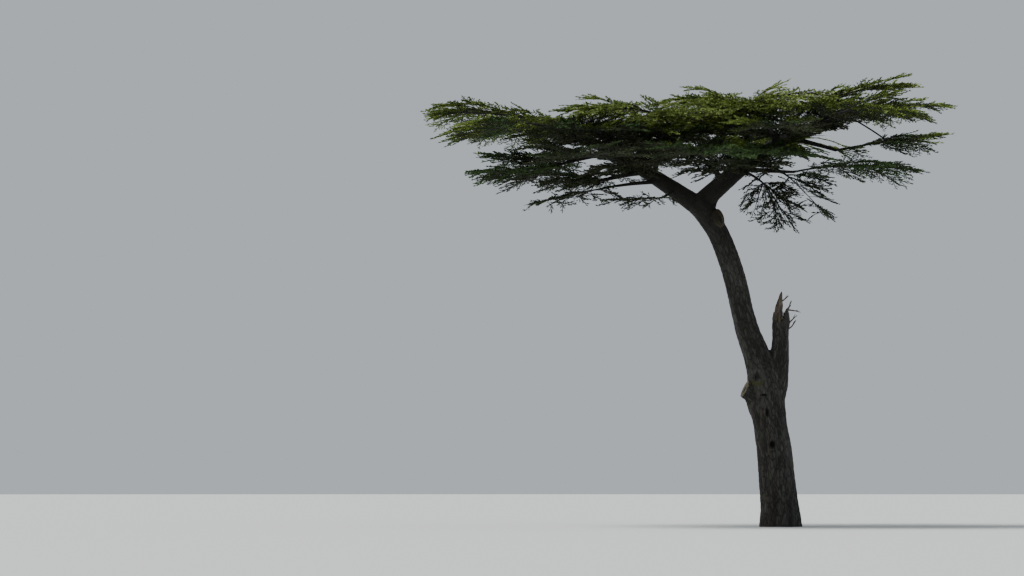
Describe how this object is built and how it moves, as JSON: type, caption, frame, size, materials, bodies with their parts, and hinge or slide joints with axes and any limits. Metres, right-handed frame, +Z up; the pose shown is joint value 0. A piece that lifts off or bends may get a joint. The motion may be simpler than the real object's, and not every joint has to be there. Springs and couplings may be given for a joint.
{
  "type": "cedar of lebanon tree",
  "caption": "Mature flat-topped conifer: leaning trunk with a broken second stem, a high fork and level boughs that carry wide plates of needle foliage.",
  "frame": {"origin": "middle of the flat cut under the trunk, at ground level", "axes": "+Z up along the trunk; +X to the right of the view that the tree was modelled from, along the crown's longest spread; +Y away from that view"},
  "size_m": [22.4313, 17.2998, 18.9522],
  "materials": {
    "bark": "rough fissured bark",
    "dead_wood": "weathered grey wood",
    "sawn_wood": "sawn end grain",
    "needles": "matt needle sprays"
  },
  "bodies": {
    "root": {"back_mid": "bark", "back_right": "bark", "bough_left": "bark", "bough_right": "bark", "broken_stem": "dead_wood", "foliage_back_mid": "needles", "foliage_back_right": "needles", "foliage_bough_left": "needles", "foliage_bough_right": "needles", "foliage_front_low": "needles", "foliage_front_right_low": "needles", "foliage_left_back": "needles", "foliage_left_back_inner": "needles", "foliage_left_droop": "needles", "foliage_left_front": "needles", "foliage_left_front_high": "needles", "foliage_left_front_inner": "needles", "foliage_left_inner": "needles", "foliage_left_low": "needles", "foliage_left_mid": "needles", "foliage_right_back": "needles", "foliage_right_back_inner": "needles", "foliage_right_front": "needles", "foliage_right_front_inner": "needles", "foliage_right_hang": "needles", "foliage_right_hang_inner": "needles", "foliage_right_low": "needles", "foliage_right_mid": "needles", "foliage_top_centre": "needles", "foliage_top_crest": "needles", "foliage_top_left": "needles", "foliage_top_left_front": "needles", "foliage_top_right": "needles", "front_low": "bark", "front_right_low": "bark", "left_back": "bark", "left_back_inner": "bark", "left_droop": "bark", "left_front": "bark", "left_front_high": "bark", "left_front_inner": "bark", "left_inner": "bark", "left_low": "bark", "left_mid": "bark", "right_back": "bark", "right_back_inner": "bark", "right_front": "bark", "right_front_inner": "bark", "right_hang": "bark", "right_hang_inner": "bark", "right_low": "bark", "right_mid": "bark", "sawn_stub_high": "sawn_wood", "sawn_stub_low": "sawn_wood", "top_centre": "bark", "top_crest": "bark", "top_left": "bark", "top_left_front": "bark", "top_right": "bark", "trunk": "bark"}
  },
  "joints": []
}
